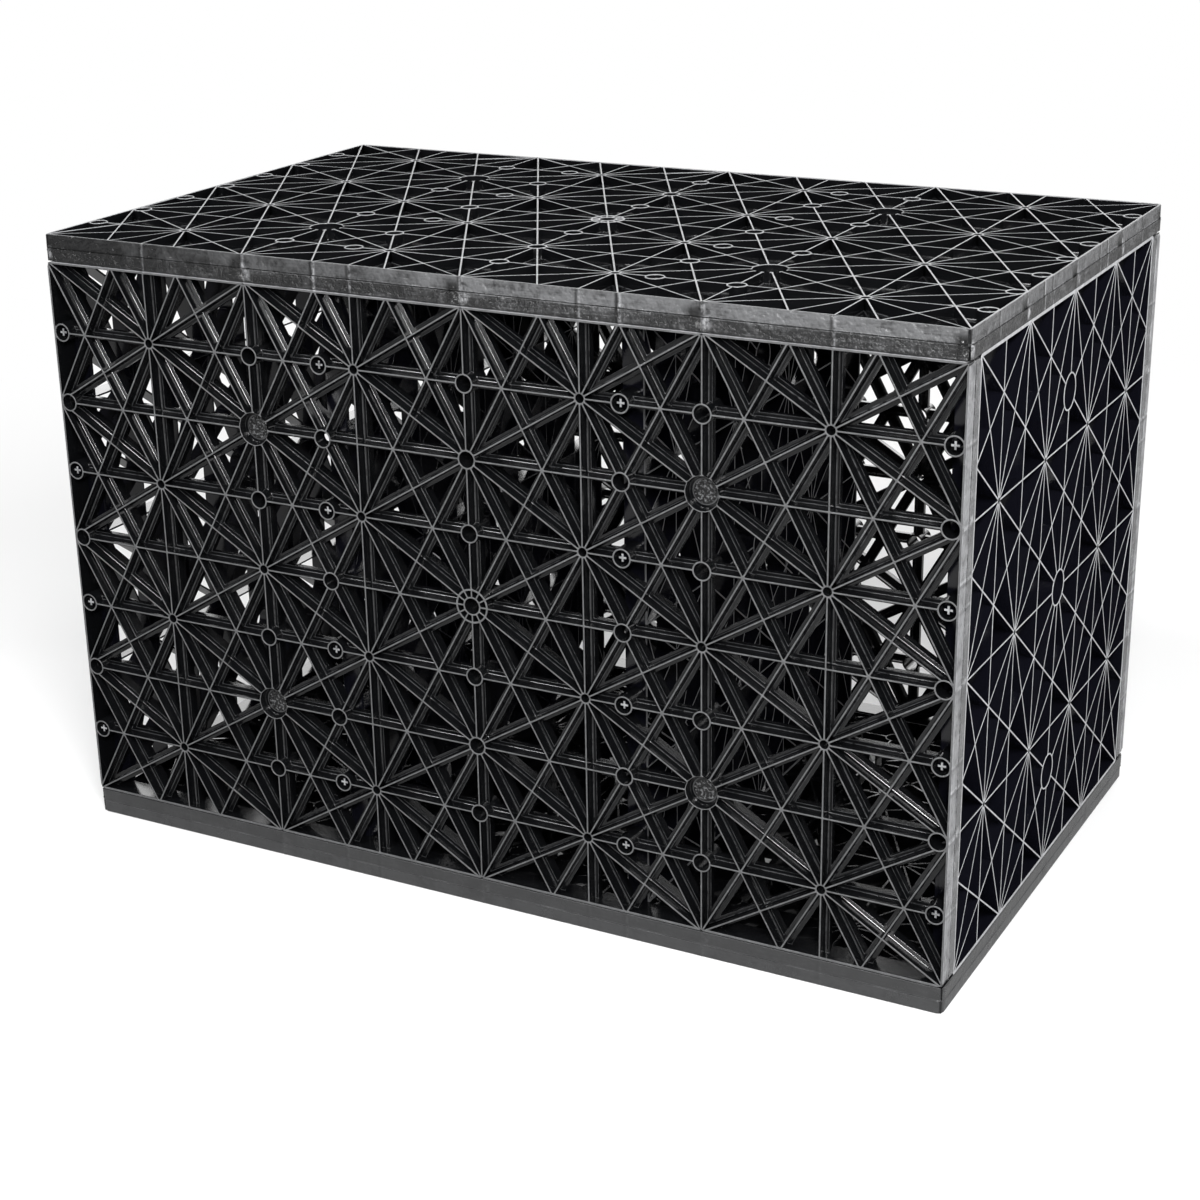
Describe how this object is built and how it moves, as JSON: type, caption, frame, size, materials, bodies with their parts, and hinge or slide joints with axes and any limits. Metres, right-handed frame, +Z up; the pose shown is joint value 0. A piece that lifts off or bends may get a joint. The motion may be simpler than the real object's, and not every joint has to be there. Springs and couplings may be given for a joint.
{
  "type": "soakaway crate",
  "caption": "Open box of black rib-lattice plates with inner partitions, buried to hold stormwater while it soaks into the ground.",
  "frame": {"origin": "middle of the footprint on the ground, under the bottom plate", "axes": "+X along the crate's length, +Y from the front side plate to the back one, +Z up"},
  "size_m": [0.685, 0.408, 0.45],
  "materials": {
    "black_plastic": "moulded satin black"
  },
  "bodies": {
    "root": {"top_plate": "black_plastic", "bottom_plate": "black_plastic", "front_side_plate": "black_plastic", "back_side_plate": "black_plastic", "right_end_plate": "black_plastic", "left_end_plate": "black_plastic", "right_partition": "black_plastic", "left_partition": "black_plastic"}
  },
  "joints": []
}
